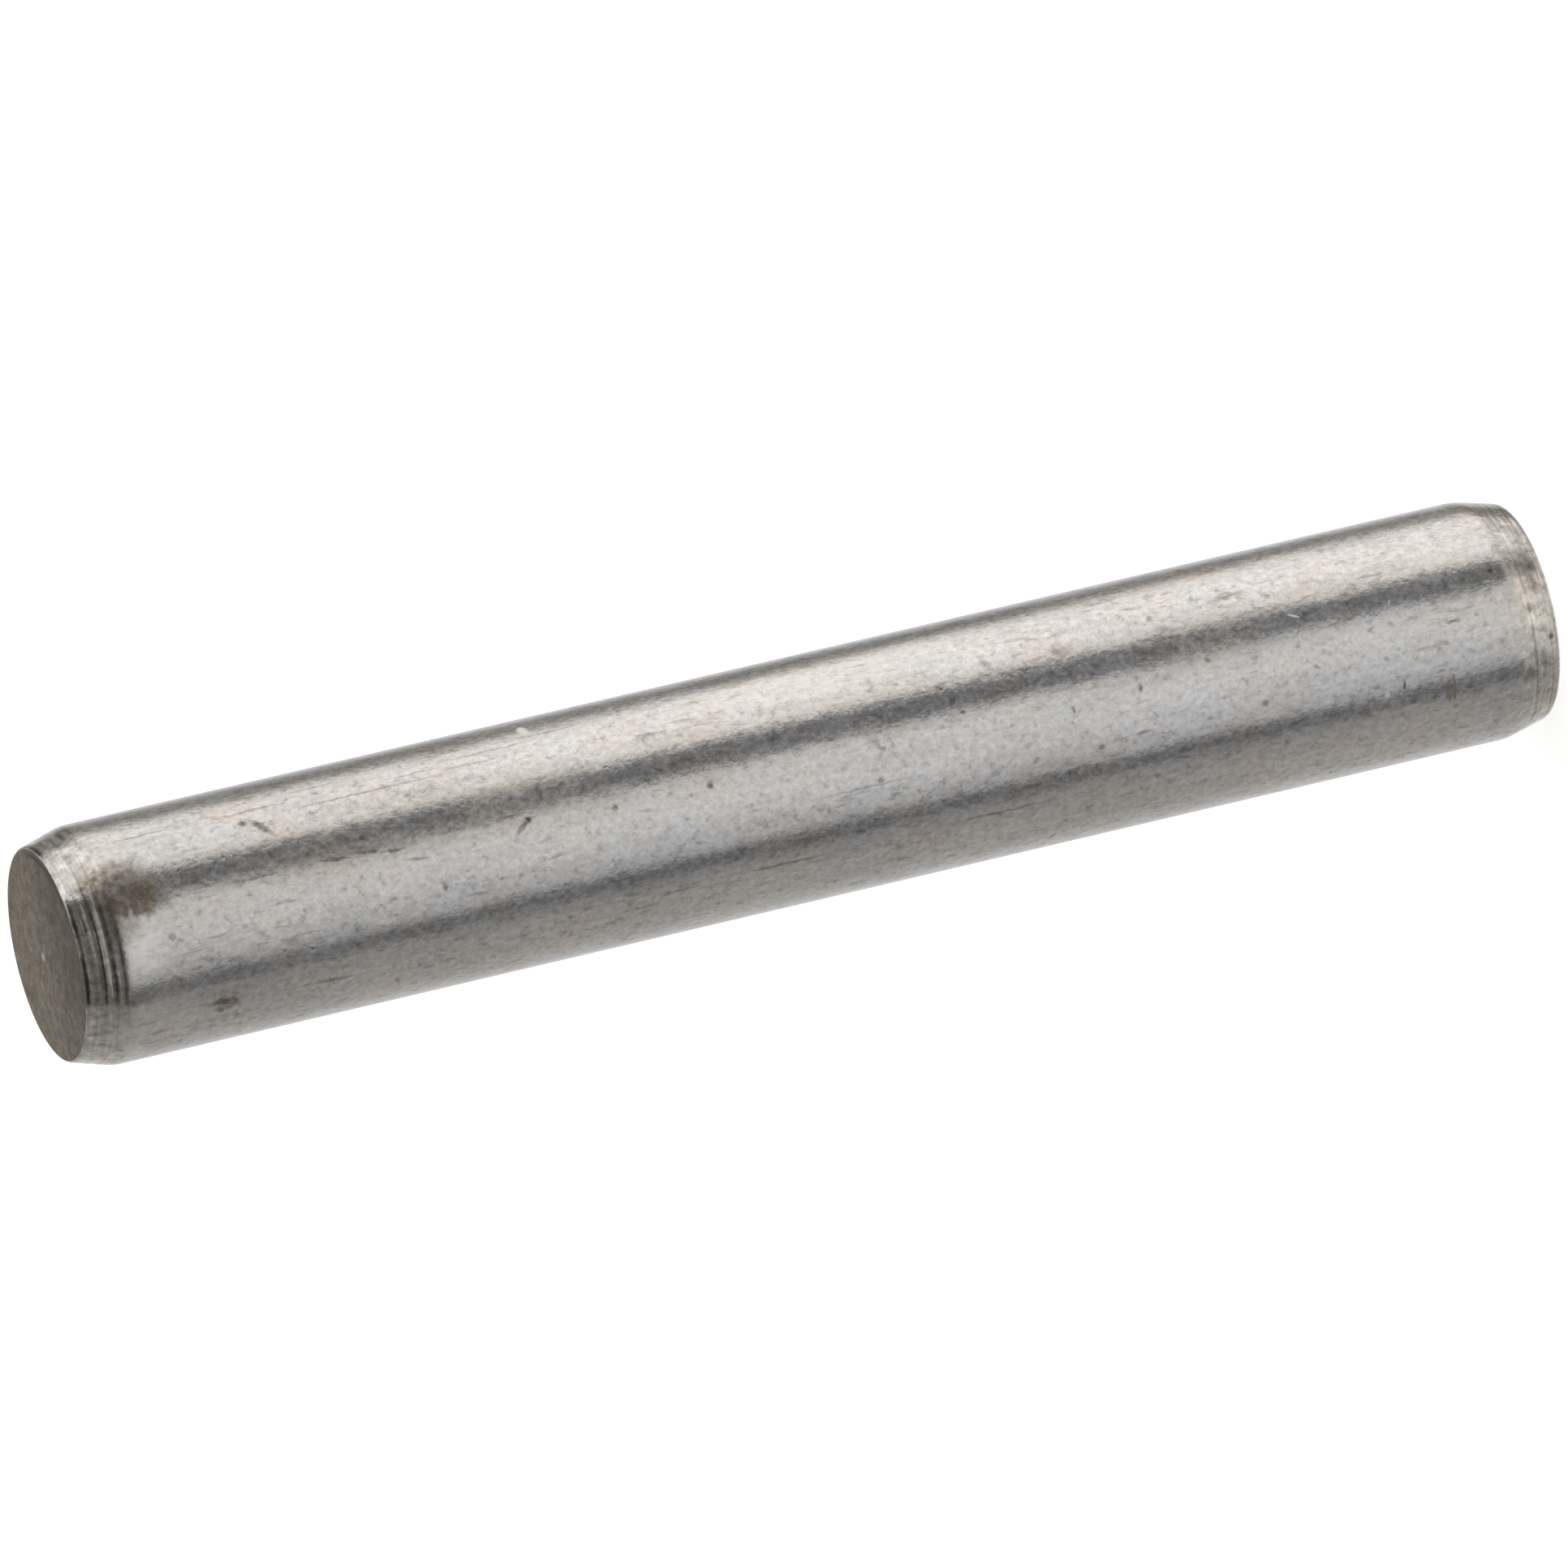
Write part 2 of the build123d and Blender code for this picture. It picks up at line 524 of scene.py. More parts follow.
def streak_group():
    """What drawing and handling leave: short dark lines along the bar, long faint bands, and small pits."""
    tree, graph, given, result = new_group(
        "drawn_streaks",
        [("Solid", VECTOR, None)],
        [("Streak", FLOAT), ("Band", FLOAT), ("Pit", FLOAT)],
    )
    solid = given["Solid"]
    bent = graph.vector("ADD", solid, graph.scaled(graph.wobble(solid, 2.0), STREAK_BEND))
    lines = graph.noise(graph.vector("MULTIPLY", bent, STREAK_STRETCH), 1.0, 3.0, 0.6)
    line_mask = graph.remap(lines, 0.55, 0.70, smooth=True)
    patch_mask = graph.remap(graph.noise(solid, 0.8), 0.42, 0.62, smooth=True)
    graph.put(result["Streak"], graph.math("MULTIPLY", line_mask, patch_mask))

    band = graph.noise(graph.vector("MULTIPLY", bent, BAND_STRETCH), 1.0, 4.0, 0.65)
    graph.put(result["Band"], band)

    ragged = graph.vector("ADD", bent, graph.scaled(graph.wobble(solid, 12.0), PIT_RAGGEDNESS))
    cells = graph.node("ShaderNodeTexVoronoi", {"Vector": ragged, "Scale": CELLS_PER_MM}).outputs
    chance = graph.node("ShaderNodeSeparateColor", {"Color": cells["Color"]}).outputs
    reach = graph.remap(chance["Red"], PITTED_FROM, 1.0, 0.0, PIT_REACH)
    core = graph.math("MULTIPLY", reach, PIT_CORE)
    pit = graph.remap(cells["Distance"], core, graph.math("ADD", reach, 0.001), 1.0, 0.0, smooth=True)
    strength = graph.remap(chance["Green"], 0.0, 1.0, FAINTEST_PIT, 1.0)
    graph.put(result["Pit"], graph.math("MULTIPLY", pit, strength))
    return tree


# ------------------------------------------------------------------ marks that this pin carries
# Each is (height, bearing, half length along the axis, half width, lean, strength).
DARK_MARKS = (
    (22.43, 38.2, 0.24, 0.060, 52, 0.80),
    (22.69, 42.8, 0.07, 0.055, 20, 0.85),
    (18.20, 8.0, 0.14, 0.042, -42, 1.0),
    (18.09, 10.3, 0.06, 0.045, 0, 1.0),
    (14.93, 7.0, 0.055, 0.075, 20, 1.0),
    (12.05, -9.0, 0.05, 0.05, 0, 0.75),
    (19.72, -11.0, 0.04, 0.08, 0, 0.75),
    (8.55, 2.5, 0.03, 0.06, 0, 0.75),
    (7.35, 5.0, 0.03, 0.09, 0, 0.75),
    (5.30, -15.0, 0.05, 0.05, 0, 0.95),
    (7.45, -15.5, 0.12, 0.03, 0, 0.65),
    (4.30, -4.0, 0.06, 0.035, 30, 0.60),
    (6.10, 11.0, 0.07, 0.04, 40, 0.65),
    (1.80, 2.3, 0.09, 0.03, 0, 0.85),
    (9.02, -68.0, 0.03, 0.12, 20, 0.65),
    (13.80, -40.3, 0.55, 0.025, 0, 0.55),
    (10.00, -39.5, 0.80, 0.025, 0, 0.55),
    (15.70, -41.5, 0.35, 0.025, 0, 0.45),
    (21.80, -46.5, 0.45, 0.03, 2, 0.55),
    (19.20, -18.3, 0.25, 0.025, 0, 0.45),
    (20.50, 44.5, 1.20, 0.022, 0, 0.50),
    (22.55, 50.1, 0.60, 0.022, -1, 0.50),
    (19.00, 59.5, 0.45, 0.020, 0, 0.45),
    (18.20, 53.4, 0.65, 0.020, -1, 0.45),
    (19.60, 49.5, 0.50, 0.018, 0, 0.40),
    (21.30, 56.5, 0.60, 0.018, 0, 0.40),
    (18.60, 47.0, 0.40, 0.018, 0, 0.40),
    (17.20, 57.5, 0.50, 0.020, 0, 0.40),
    (24.40, 50.5, 0.40, 0.02, 0, 0.55),
    (22.90, 13.0, 0.40, 0.025, 0, 0.50),
    (21.43, 12.8, 0.26, 0.030, 8, 0.65),
    (20.86, 12.9, 0.19, 0.030, 10, 0.65),
    (20.42, 10.7, 0.21, 0.028, 5, 0.65),
    (20.09, 4.4, 0.16, 0.028, 8, 0.60),
    (19.38, 13.8, 0.16, 0.030, 0, 0.55),
    (20.90, 20.2, 0.045, 0.045, 0, 0.65),
    (18.30, 14.0, 0.30, 0.025, 0, 0.40),
    (12.30, -11.0, 0.75, 0.02, 0, 0.40),
    (15.70, 20.0, 0.08, 0.03, 30, 0.45),
    (11.90, 5.0, 0.05, 0.03, 0, 0.75),
    (10.40, 13.0, 0.06, 0.03, 20, 0.75),
    (8.20, -18.0, 0.06, 0.04, 0, 0.75),
    (3.10, -8.0, 0.05, 0.03, 20, 0.50),
    (6.80, 39.0, 0.05, 0.05, 0, 0.55),
    (0.95, 22.0, 0.04, 0.04, 0, 0.55),
    (23.00, 6.0, 0.04, 0.04, 0, 0.50),
    (23.20, -8.0, 0.04, 0.04, 0, 0.45),
    (24.45, -5.0, 0.06, 0.05, 20, 0.50),
    (22.55, -1.0, 0.05, 0.03, 0, 0.50),
    (22.15, -7.0, 0.04, 0.03, 0, 0.45),
    (2.85, -22.0, 0.03, 0.08, 0, 0.85),
    (0.16, -16.0, 0.05, 0.07, 0, 0.90),
)
BROWN_STAINS = (
    (24.80, 18.0, 0.40, 0.28, 6, 1.35),
    (25.20, 15.0, 0.26, 0.28, 0, 1.20),
    (25.36, 25.0, 0.26, 0.30, 0, 1.00),
    (24.98, 28.5, 0.36, 0.22, 0, 0.90),
    (25.34, 30.5, 0.26, 0.18, 0, 0.85),
    (25.44, 32.0, 0.26, 0.10, 0, 0.95),
    (25.66, 28.5, 0.12, 0.08, 0, 0.80),
    (25.02, 35.0, 0.24, 0.11, 0, 0.80),
    (24.85, 11.5, 0.30, 0.15, 0, 1.10),
    (24.25, 17.5, 0.40, 0.12, 0, 0.25),
    (25.25, 3.0, 0.12, 0.26, 0, 0.55),
    (25.14, 7.0, 0.24, 0.26, 0, 0.65),
    (25.40, 10.5, 0.17, 0.36, 0, 0.60),
    (25.20, -32.0, 0.34, 0.10, 0, 0.60),
    (25.60, -31.0, 0.25, 0.06, 0, 0.60),
    (23.62, -45.0, 0.22, 0.12, 0, 1.10),
    (9.75, 35.5, 0.06, 0.15, 0, 0.45),
    (8.45, 33.5, 0.16, 0.11, 20, 0.45),
    (5.40, 41.0, 0.24, 0.06, 0, 0.60),
    (0.60, -32.0, 0.10, 0.12, 0, 0.80),
    (0.22, 22.0, 0.09, 0.14, 0, 0.70),
    (0.28, 12.0, 0.06, 0.18, 0, 0.45),
    (0.45, 20.0, 0.10, 0.12, 0, 0.60),
    (16.60, 6.5, 0.06, 0.04, 0, 0.8),
    (20.70, 13.8, 0.85, 0.10, 4, 0.36),
    (19.10, 15.0, 0.70, 0.09, 0, 0.28),
)
RUST_SPOTS = (
    (2.075, -29.6, 0.040, 0.22, 0, 0.75),
    (1.985, -29.9, 0.034, 0.21, 0, 0.80),
    (19.75, 17.0, 0.07, 0.05, 0, 0.6),
)
HAZE_PATCHES = (
    (18.20, 19.0, 1.60, 0.40, 0, 0.9),
    (21.60, 15.0, 1.60, 0.34, 0, 0.8),
    (6.00, 20.0, 1.10, 0.34, 0, 0.9),
    (12.20, 16.0, 0.70, 0.20, 0, 0.4),
    (9.00, -57.0, 3.20, 0.42, 0, 0.6),
)
COOL_PATCHES = ((23.95, 46.0, 0.70, 0.60, 0, 0.90),)
CLEAN_PATCHES = (
    (25.00, -22.0, 0.32, 1.20, 0, 0.50),
    (24.60, -50.0, 0.50, 0.40, 0, 0.30),
    (12.50, 54.0, 2.20, 0.42, 0, 0.40),
    (0.95, 14.5, 0.18, 0.12, 0, 0.80),
)
BRIGHT_MARKS = (
    (17.50, 63.8, 0.085, 0.17, 0, 1.0),
    (4.45, 22.5, 0.11, 0.025, 28, 0.8),
    (2.80, 18.0, 0.06, 0.012, -60, 0.7),
    (3.16, -25.0, 0.045, 0.055, 0, 0.9),
    (20.18, -65.2, 0.03, 0.09, 0, 0.35),
)


# The kinds of mark, as (output, marks, raggedness of the outline, softness of the edge).
MARK_KINDS = (
    ("Dark", DARK_MARKS, 0.10, 0.65),
    ("Brown", BROWN_STAINS, 0.35, 0.75),
    ("Rust", RUST_SPOTS, 0.10, 0.6),
    ("Haze", HAZE_PATCHES, 0.50, 0.8),
    ("Cool", COOL_PATCHES, 0.50, 0.8),
    ("Clean", CLEAN_PATCHES, 0.50, 0.8),
    ("Bright", BRIGHT_MARKS, 0.04, 0.5),
)


def marks_group(mark):
    """The kinds of mark, each as one mask over the unrolled surface, mottled except for the bright ones."""
    tree, graph, given, result = new_group(
        "pin_marks",
        [("Unrolled", VECTOR, None), ("Solid", VECTOR, None)],
        [(kind[0], FLOAT) for kind in MARK_KINDS],
    )
    wobble = graph.wobble(given["Solid"], 6.0, 4.0, 0.6)
    mottle = graph.remap(graph.noise(given["Solid"], 7.0, 3.0, 0.6), 0.35, 0.65, 0.55, 1.15)
    for label, marks, raggedness, softness in MARK_KINDS:
        place = graph.vector("ADD", given["Unrolled"], graph.scaled(wobble, raggedness))
        flat = graph.vector("MULTIPLY", place, (1.0, 1.0, 0.0))
        total = None
        for height, bearing, half_length, half_width, lean, strength in marks:
            mask = graph.group(mark, {
                "Unrolled": flat,
                "Centre": (radians(bearing) * RADIUS, height, 0.0),
                "Half Size": (half_width, half_length, 1.0),
                "Lean": radians(lean),
                "Softness": softness,
                "Strength": strength,
            })["Mask"]
            total = mask if total is None else graph.math("MAXIMUM", total, mask)
        if label != "Bright":
            total = graph.math("MULTIPLY", total, mottle, clamp=True)
        graph.put(result[label], total)
    return tree


# ================================================================== the finishes
# Colours of the bare steel as drawn, as turned and as faced, each from its cooler to its warmer parts.
DRAWN_STEEL = ((0.725, 0.73, 0.74), (0.755, 0.72, 0.69))
TURNED_STEEL = ((0.70, 0.685, 0.655), (0.735, 0.695, 0.645))
FACED_STEEL = ((0.305, 0.277, 0.227), (0.333, 0.277, 0.218))
# Films that lie over it and tint it.
HANDLING_FILM = (0.922, 0.914, 0.907)
WARM_HAZE = (1.0, 0.975, 0.94)
# Colours of what is on it.
STREAK_STEEL = (0.36, 0.31, 0.27)
PIT_STEEL = (0.30, 0.27, 0.24)
# Dirt in the grooves, and painted shade along the head's rim, along its face's edge and in its front grooves.
GROOVE_DIRT_AND_SHADE = (0.085, 0.073, 0.060)
BROWN = (0.195, 0.155, 0.112)
RUST = (0.285, 0.215, 0.145)
DARK = (0.13, 0.11, 0.09)
BRIGHT = (0.95, 0.94, 0.92)
# Painted highlight at the centre of the head's face.
CENTRE_HIGHLIGHT_COLOUR = (0.75, 0.73, 0.68)
# How much of what lies below it each one covers at its strongest.
STREAK_COVER = 0.60
PIT_COVER = 0.75
BROWN_COVER = 0.9

# Roughness of the bare steel and what flecks add to it, as ranges, the share of it that the turned ends keep,
# what stains and haze add, and the roughness of rust, of bright marks and of the end faces.
STEEL_ROUGHNESS = (0.165, 0.215)
FLECK_ROUGHNESS = (-0.03, 0.05)
TURNED_ROUGHNESS_SHARE = 0.62
BROWN_ROUGHNESS = 0.22
HAZE_ROUGHNESS = 0.10
RUST_ROUGHNESS = 0.6
BRIGHT_ROUGHNESS = 0.7
FACE_ROUGHNESS = 0.5

# Relief: the bump's distance on the side and on the end faces, in metres, and what each kind puts into it.
SIDE_BUMP = 0.0040 * MM
FACE_BUMP = 0.008 * MM
TURNED_PEBBLE_SHARE = 0.70
RING_RELIEF = 0.4
PIT_RELIEF = -0.5
WAVE_RELIEF = 3.4

# Two places on the head's face: a spot of its edge that is made lighter, with the reach of that, and a
# painted highlight at its centre, standing for the lit side of a small dimple that is not modelled, a little
# longer from front to back.
LIGHTER_EDGE_SPOT = (-1.42, -0.95, LENGTH)
LIGHTER_SPOT_REACH = (0.10, 0.65)
LIGHTER_SPOT_GAIN = 1.35
CENTRE_HIGHLIGHT = (-0.02, 0.21, LENGTH)
CENTRE_HIGHLIGHT_STRETCH = (1.0, 0.75, 1.0)
CENTRE_HIGHLIGHT_REACH = (0.03, 0.10)
CENTRE_HIGHLIGHT_RAGGEDNESS = 0.08
CENTRE_HIGHLIGHT_COVER = 0.80


def new_material(name):
    """A material with nodes, the graph of its tree, and its shader."""
    material = bpy.data.materials.new(name)
    material.use_nodes = True
    graph = Graph(material.node_tree)
    shader = material.node_tree.nodes["Principled BSDF"]
    return material, graph, shader


def side_steel(groups):
    """The shank and chamfers: drawn bar with a fine pebbled skin, turned at its ends, duller at its head."""
    material, graph, shader = new_material("side_steel")
    place = graph.group(groups["place"], {})
    skin = graph.group(groups["grain"], {"Solid": place["Solid"], "Along": 0.8, "Fineness": 6.0})
    rings = graph.group(groups["rings"], {"Solid": place["Solid"], "Unrolled": place["Unrolled"]})
    lines = graph.group(groups["streaks"], {"Solid": place["Solid"]})
    marks = graph.group(groups["marks"], {"Unrolled": place["Unrolled"], "Solid": place["Solid"]})
    turned = graph.attribute("turned")
    uneven = graph.remap(skin["Patch"], 0.36, 0.60, 0.72, 1.08)
    groove_dirt_and_shade = graph.math("MULTIPLY", graph.attribute("groove_dirt_and_shade"), uneven, clamp=True)

    warmth = graph.math("SUBTRACT", graph.remap(skin["Tint"], 0.36, 0.64), marks["Cool"], clamp=True)
    color = graph.mix(turned, graph.mix(warmth, *DRAWN_STEEL), graph.mix(warmth, *TURNED_STEEL))
    fleck = graph.remap(skin["Fleck"], 0.30, 0.70, 0.79, 1.21)
    speck = graph.remap(skin["Speck"], 0.29, 0.45, 0.58, 1.0)
    band = graph.remap(lines["Band"], 0.30, 0.70, 0.92, 1.06)
    cloud = graph.remap(skin["Cloud"], 0.3, 0.7, 0.95, 1.04)
    ring_shade = graph.math("MULTIPLY", graph.remap(rings["Line"], 0.3, 0.7, -0.18, 0.18), turned)
    patches = graph.math("MULTIPLY", graph.remap(skin["Patch"], 0.3, 0.7, 0.27, -0.27), turned)
    turned_shade = graph.math("ADD", graph.math("ADD", ring_shade, patches), 1.0)
    shade = graph.math("MULTIPLY", graph.math("MULTIPLY", fleck, speck), graph.math("MULTIPLY", cloud, band))
    color = graph.scaled(color, graph.math("MULTIPLY", shade, turned_shade))
    color = graph.mix(place["Head Film"], color, HANDLING_FILM, blend="MULTIPLY")
    color = graph.mix(marks["Clean"], color, BRIGHT)
    color = graph.mix(marks["Haze"], color, WARM_HAZE, blend="MULTIPLY")
    color = graph.mix(graph.math("MULTIPLY", lines["Streak"], STREAK_COVER), color, STREAK_STEEL)
    color = graph.mix(graph.math("MULTIPLY", lines["Pit"], PIT_COVER), color, PIT_STEEL)
    # Painted shade along the head's rim and in its front grooves, over the dirt in every groove.
    color = graph.mix(groove_dirt_and_shade, color, GROOVE_DIRT_AND_SHADE)
    color = graph.mix(graph.math("MULTIPLY", marks["Brown"], BROWN_COVER), color, graph.scaled(BROWN, fleck))
    color = graph.mix(marks["Dark"], color, DARK)
    color = graph.mix(marks["Rust"], color, RUST)
    color = graph.mix(marks["Bright"], color, BRIGHT)
    graph.put(shader.inputs["Base Color"], color)

    shader.inputs["Metallic"].default_value = 1.0
    rough = graph.remap(skin["Cloud"], 0.3, 0.7, *STEEL_ROUGHNESS)
    rough = graph.math("ADD", rough, graph.remap(skin["Fleck"], 0.35, 0.65, *FLECK_ROUGHNESS))
    rough = graph.math("MULTIPLY", rough, graph.remap(turned, 0.0, 1.0, 1.0, TURNED_ROUGHNESS_SHARE))
    rough = graph.math("ADD", rough, graph.math("MULTIPLY", marks["Brown"], BROWN_ROUGHNESS))
    rough = graph.math("ADD", rough, graph.math("MULTIPLY", marks["Haze"], HAZE_ROUGHNESS))
    rough = graph.math("MAXIMUM", rough, graph.math("MULTIPLY", marks["Rust"], RUST_ROUGHNESS))
    rough = graph.math("MAXIMUM", rough, graph.math("MULTIPLY", marks["Bright"], BRIGHT_ROUGHNESS))
    graph.put(shader.inputs["Roughness"], rough)

    pebbles = graph.math("MULTIPLY", skin["Grain"], graph.remap(turned, 0.0, 1.0, 1.0, TURNED_PEBBLE_SHARE))
    feed_lines = graph.math("MULTIPLY", graph.math("MULTIPLY", rings["Line"], turned), RING_RELIEF)
    sunk = graph.math("MULTIPLY", lines["Pit"], PIT_RELIEF)
    waves = graph.math("MULTIPLY", skin["Wave"], WAVE_RELIEF)
    height = graph.math("ADD", graph.math("ADD", pebbles, feed_lines), graph.math("ADD", sunk, waves))
    bump = graph.node("ShaderNodeBump", {"Height": height, "Distance": SIDE_BUMP})
    graph.put(shader.inputs["Normal"], bump.outputs[0])
    return material


def faced_steel(groups):
    """The end faces: dull, brownish, faced steel with a small painted highlight at the centre of the head's
    face.
    """
    material, graph, shader = new_material("faced_steel")
    solid = graph.group(groups["place"], {})["Solid"]
    skin = graph.group(groups["grain"], {"Solid": solid, "Along": 1.0, "Fineness": 7.0})
    olive_to_brown = graph.remap(graph.noise(solid, 1.7, 4.0, 0.65), 0.38, 0.62)
    color = graph.mix(olive_to_brown, *FACED_STEEL)
    fleck = graph.remap(skin["Fleck"], 0.3, 0.7, 0.74, 1.24)
    blotch = graph.remap(graph.noise(solid, 4.2, 4.0, 0.7), 0.3, 0.7, 0.62, 1.34)
    # Painted shade: each end face is darker towards its front.
    front_painted_shade = graph.remap(graph.split(solid)["Y"], -1.6, 0.7, 0.60, 1.07, smooth=True)
    shade = graph.math("MULTIPLY", graph.math("MULTIPLY", fleck, blotch), front_painted_shade)
    # A spot near the edge of the head's face is made lighter.
    from_lighter_spot = graph.vector("LENGTH", graph.vector("SUBTRACT", solid, LIGHTER_EDGE_SPOT))
    edge_lightening = graph.remap(from_lighter_spot, *LIGHTER_SPOT_REACH, LIGHTER_SPOT_GAIN, 1.0, smooth=True)
    color = graph.scaled(color, graph.math("MULTIPLY", shade, edge_lightening))

    # Painted highlight: the lit side of a small dimple at the face's centre, which the mesh does not have.
    from_centre_highlight = graph.vector("MULTIPLY", graph.vector("SUBTRACT", solid, CENTRE_HIGHLIGHT), CENTRE_HIGHLIGHT_STRETCH)
    ragged = graph.math("MULTIPLY", graph.math("SUBTRACT", skin["Speck"], 0.5), CENTRE_HIGHLIGHT_RAGGEDNESS)
    reach = graph.math("ADD", graph.vector("LENGTH", from_centre_highlight), ragged)
    centre_highlight = graph.remap(reach, *CENTRE_HIGHLIGHT_REACH, CENTRE_HIGHLIGHT_COVER, 0.0, smooth=True)
    color = graph.mix(centre_highlight, color, CENTRE_HIGHLIGHT_COLOUR)
    # Painted shade along the edge of the head's face, with the dirt and painted shade of the rim groove
    # reaching over it.
    color = graph.mix(graph.attribute("groove_dirt_and_shade"), color, GROOVE_DIRT_AND_SHADE)
    graph.put(shader.inputs["Base Color"], color)

    shader.inputs["Metallic"].default_value = 1.0
    shader.inputs["Roughness"].default_value = FACE_ROUGHNESS
    bump = graph.node("ShaderNodeBump", {"Height": skin["Grain"], "Distance": FACE_BUMP})
    graph.put(shader.inputs["Normal"], bump.outputs[0])
    return material


def give_finishes(pin):
    """Gives the end faces the faced finish, and every other polygon the side's."""
    groups = {
        "place": place_group(),
        "grain": grain_group(),
        "rings": rings_group(),
        "streaks": streak_group(),
        "marks": marks_group(mark_group()),
    }
    for finish in (side_steel(groups), faced_steel(groups)):
        pin.data.materials.append(finish)
    for polygon in pin.data.polygons:
        polygon.material_index = 1 if abs(polygon.normal.z) > FACED_FROM else 0


# ================================================================== studio
# What surrounds the pin: soft boxes with dark gaps between them, in rings at four heights. A ring's stops are
# (bearing, brightness, warmth).
LOW_SURROUND = (
    (-180, 0.81, 0.0),
    (-172, 0.75, 0.0),
    (-162, 0.66, 0.0),
    (-148, 0.55, 0.2),
    (-126, 0.41, 1.0),
    (-104, 0.36, 1.1),
    (-80, 0.31, 0.9),
    (-68, 0.295, 0.1),
    (-64, 0.145, -0.4),
    (-52, 0.14, -0.4),
    (-48, 0.42, 0.0),
    (-30, 0.59, -0.1),
    (-10, 0.70, 0.1),
    (12, 0.74, 0.5),
    (26, 0.66, 0.5),
    (32, 0.155, -0.8),
    (53, 0.155, -0.9),
    (59, 0.86, 1.2),
    (80, 1.0, 1.0),
    (110, 1.04, 1.1),
    (120, 0.84, 1.3),
    (127, 0.35, 1.2),
    (141, 0.21, 1.0),
    (149, 0.34, 0.5),
    (162, 0.73, 0.0),
    (172, 0.82, 0.0),
    (180, 0.81, 0.0),
)
HIGH_SURROUND = (
    (-180, 0.52, 0.2),
    (-150, 0.46, 0.2),
    (-122, 0.40, 0.3),
    (-100, 0.35, 0.4),
    (-64, 0.26, 0.4),
    (-60, 0.165, 0.4),
    (-42, 0.165, 0.4),
    (-32, 0.195, 0.4),
    (-12, 0.195, 0.4),
    (-2, 0.16, 0.4),
    (48, 0.16, 0.4),
    (51, 1.00, 0.4),
    (109, 1.02, 0.4),
    (116, 0.75, 0.4),
    (124, 0.34, 0.3),
    (150, 0.32, 0.3),
    (180, 0.52, 0.2),
)
UPPER_SURROUND = (
    (-180, 0.42, 0.5),
    (-150, 0.34, 0.5),
    (-70, 0.28, 0.5),
    (-58, 0.48, 0.5),
    (47, 0.48, 0.5),
    (52, 1.00, 0.4),
    (142, 1.00, 0.4),
    (156, 0.48, 0.5),
    (180, 0.42, 0.5),
)
DEEP_SURROUND = (
    (-180, 0.60, 0.3),
    (-150, 0.46, 0.6),
    (-110, 0.38, 0.8),
    (-66, 0.34, 0.8),
    (-56, 0.52, 0.6),
    (-40, 0.67, 0.6),
    (0, 0.76, 0.9),
    (38, 0.70, 1.0),
    (46, 0.40, 1.2),
    (60, 0.38, 1.0),
    (72, 0.58, 1.0),
    (84, 0.78, 1.0),
    (102, 0.78, 0.8),
    (114, 0.42, 0.8),
    (130, 0.42, 0.8),
    (144, 0.50, 0.5),
    (160, 0.70, 0.3),
    (180, 0.80, 0.2),
)
NADIR = (0.62, 0.60, 0.56)
ZENITH = (0.48, 0.465, 0.445)


# The rings and caps that take over from LOW_SURROUND above and below it, as (what takes over, degrees above
# level where that starts, degrees where it is done).
OTHER_RINGS = ((HIGH_SURROUND, -11.0, 3.0), (DEEP_SURROUND, -30.0, -42.0), (UPPER_SURROUND, 19.0, 30.0))
CAPS = ((NADIR, -55.0, -75.0), (ZENITH, 62.0, 80.0))
# What one step of warmth adds to red, green and blue, as shares.
WARMTH_STEP = (0.025, -0.012, -0.06)

# Half the floor's side, in metres, its grey, and the light that lifts it to white for the camera alone.
FLOOR_HALF = 2.0
FLOOR_GREY = (0.6, 0.6, 0.6)
FLOOR_LIFT = 0.79


def surround_ramp(graph, turn, stops):
    """The colour of a ring of panels at a bearing, given as a share of a whole turn from the back."""
    ramp = graph.node("ShaderNodeValToRGB", {"Fac": turn})
    elements = ramp.color_ramp.elements
    while len(elements) < len(stops):
        elements.new(1.0)
    for element, (bearing, brightness, warmth) in zip(elements, stops):
        element.position = (bearing + 180) / 360
        element.color = (*(brightness * (1 + share * warmth) for share in WARMTH_STEP), 1.0)
    return ramp.outputs["Color"]


def light_studio():
    """A soft surround for the steel to reflect, which the camera itself sees as plain white."""
    world = bpy.data.worlds.new("studio")
    world.use_nodes = True
    bpy.context.scene.world = world
    graph = Graph(world.node_tree)
    world.node_tree.nodes.clear()
    split = graph.split(graph.node("ShaderNodeTexCoord").outputs["Generated"])
    turn = graph.math("ADD", graph.math("DIVIDE", graph.bearing(split), 2 * pi), 0.5)
    rise = graph.math("DEGREES", graph.math("ARCSINE", split["Z"]))
    color = surround_ramp(graph, turn, LOW_SURROUND)
    for stops, start, done in OTHER_RINGS:
        share = graph.remap(rise, start, done, smooth=True)
        color = graph.mix(share, color, surround_ramp(graph, turn, stops))
    for cap, start, done in CAPS:
        color = graph.mix(graph.remap(rise, start, done, smooth=True), color, cap)
    seen = graph.node("ShaderNodeLightPath").outputs["Is Camera Ray"]
    background = graph.node("ShaderNodeBackground", {"Color": graph.mix(seen, color, WHITE), "Strength": 1.0})
    output = graph.node("ShaderNodeOutputWorld")
    graph.put(output.inputs["Surface"], background.outputs[0])


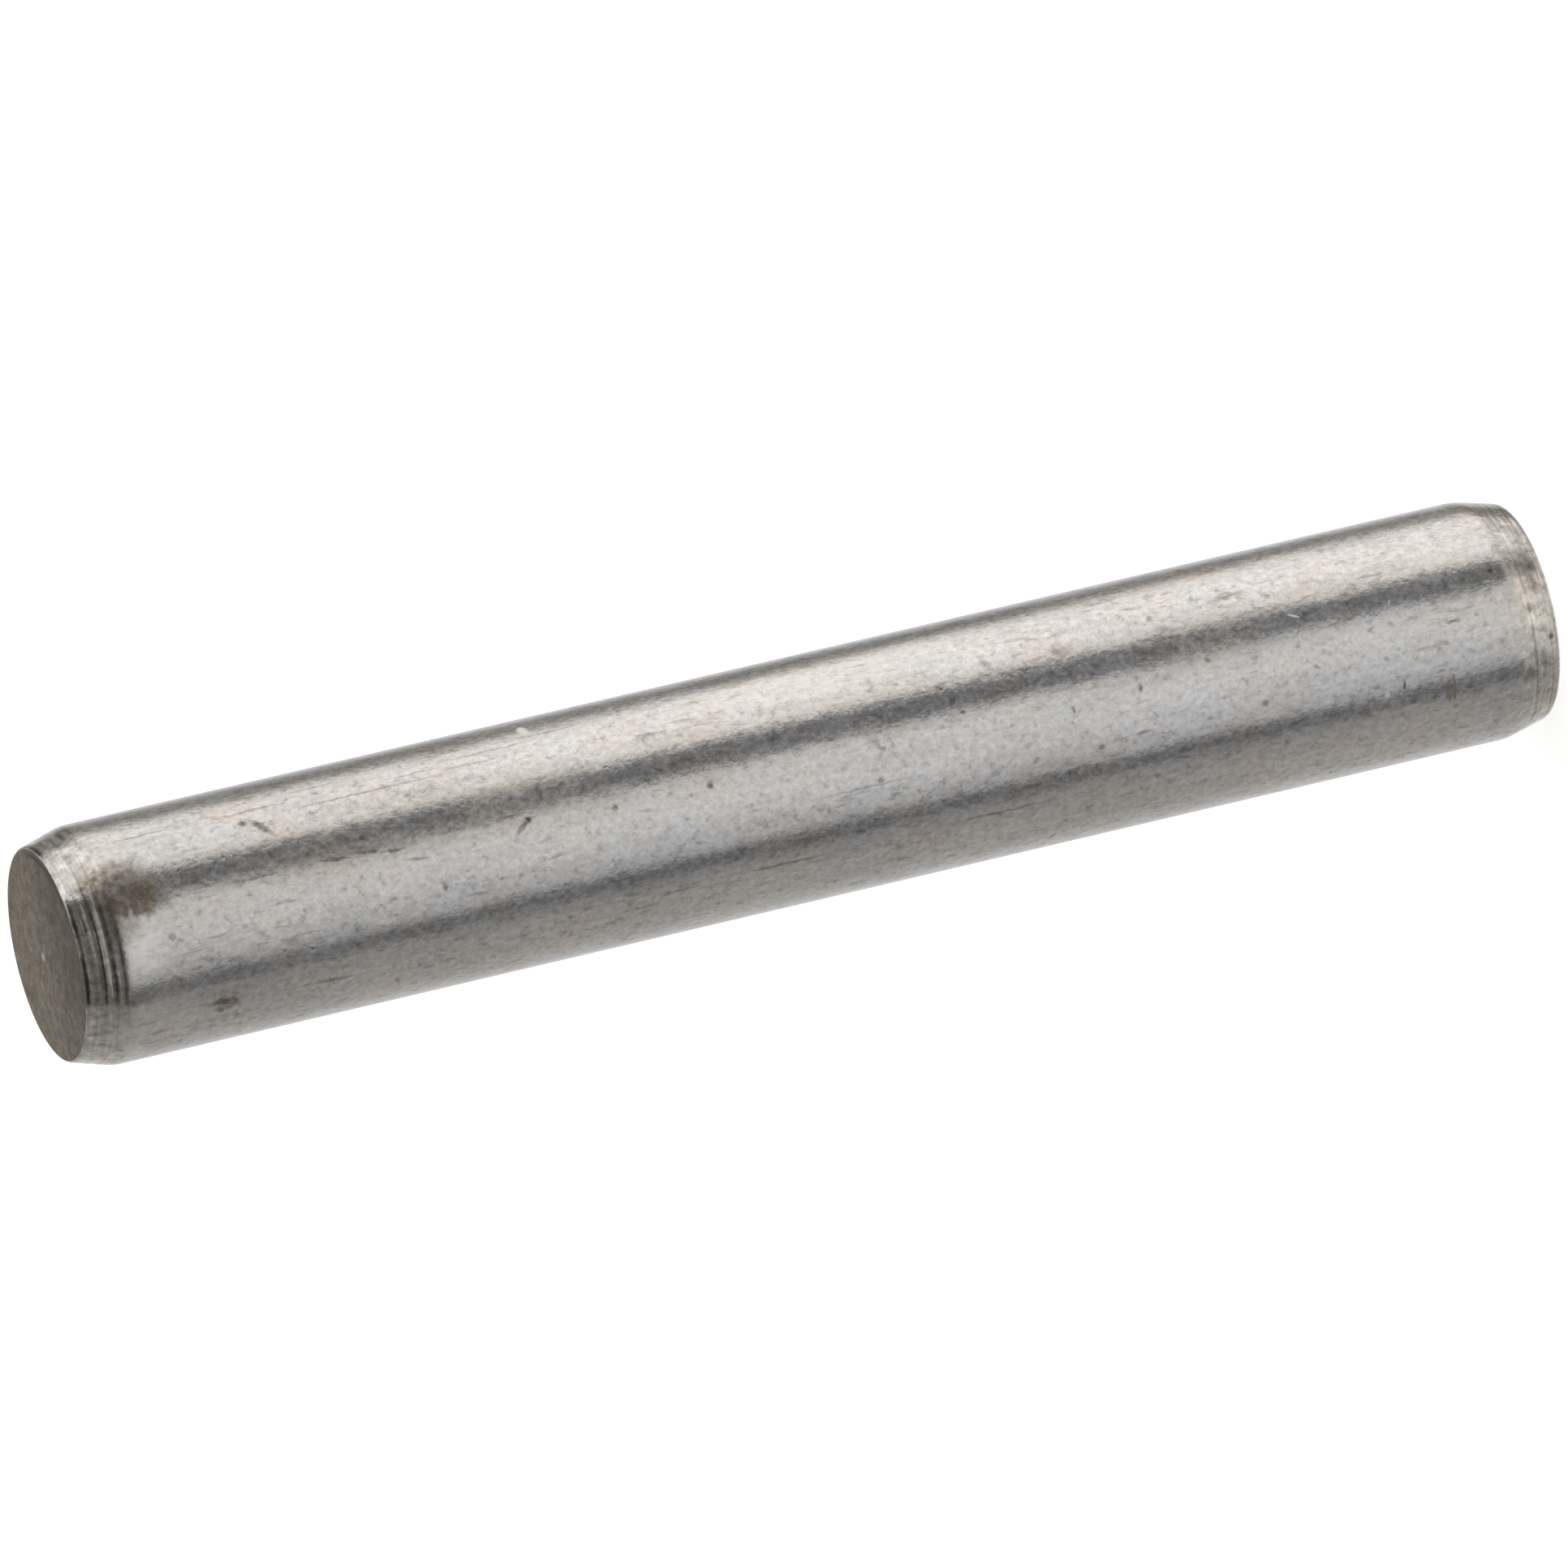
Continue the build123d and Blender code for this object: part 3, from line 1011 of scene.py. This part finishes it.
def lay_floor():
    """A pale floor under the foot, which takes a soft shadow and which the camera sees as white."""
    mesh = bpy.data.meshes.new("floor")
    corners = ((-1, -1), (1, -1), (1, 1), (-1, 1))
    mesh.from_pydata([(x * FLOOR_HALF, y * FLOOR_HALF, 0.0) for x, y in corners], [], [(0, 1, 2, 3)])
    floor = bpy.data.objects.new("floor", mesh)
    bpy.context.scene.collection.objects.link(floor)
    material = bpy.data.materials.new("pale_floor")
    material.use_nodes = True
    graph = Graph(material.node_tree)
    material.node_tree.nodes.clear()
    matte = graph.node("ShaderNodeBsdfDiffuse", {"Color": FLOOR_GREY})
    seen = graph.node("ShaderNodeLightPath").outputs["Is Camera Ray"]
    lift = graph.node("ShaderNodeEmission", {"Strength": graph.math("MULTIPLY", seen, FLOOR_LIFT)})
    both = graph.node("ShaderNodeAddShader")
    graph.put(both.inputs[0], matte.outputs[0])
    graph.put(both.inputs[1], lift.outputs[0])
    output = graph.node("ShaderNodeOutputMaterial")
    graph.put(output.inputs["Surface"], both.outputs[0])
    mesh.materials.append(material)
    floor.visible_glossy = False
    floor.visible_shadow = False


# ================================================================== camera
# The camera's distance, its rise above level, its clockwise roll, and where it aims, from the pin's middle
# along the picture's right and up.
CAMERA_DISTANCE = 674.0
CAMERA_RISE = 17.72
CAMERA_ROLL = 103.155
FOCAL_LENGTH = 944.7
AIM_RIGHT = -0.0485
AIM_UP = -0.0323


def place_camera():
    """A long lens in front of the pin and a little above it, rolled so that the pin lies across the view."""
    rise = radians(CAMERA_RISE)
    back = Vector((0.0, -cos(rise), sin(rise)))
    level_right = Vector((1.0, 0.0, 0.0))
    level_up = back.cross(level_right)
    roll = radians(CAMERA_ROLL)
    right = level_right * cos(roll) - level_up * sin(roll)
    up = level_right * sin(roll) + level_up * cos(roll)
    middle = Vector((0.0, 0.0, LENGTH / 2))
    aim = middle + right * AIM_RIGHT + up * AIM_UP
    data = bpy.data.cameras.new("camera")
    data.lens = FOCAL_LENGTH
    camera = bpy.data.objects.new("camera", data)
    bpy.context.scene.collection.objects.link(camera)
    turn = Matrix((right, up, back)).transposed()
    camera.matrix_world = Matrix.Translation((aim + back * CAMERA_DISTANCE) * MM) @ turn.to_4x4()
    bpy.context.scene.camera = camera


place_camera()
light_studio()
lay_floor()
bpy.context.scene.view_settings.view_transform = "Standard"

pin = build_pin()
give_finishes(pin)
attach(pin, "root")
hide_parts(NODE)
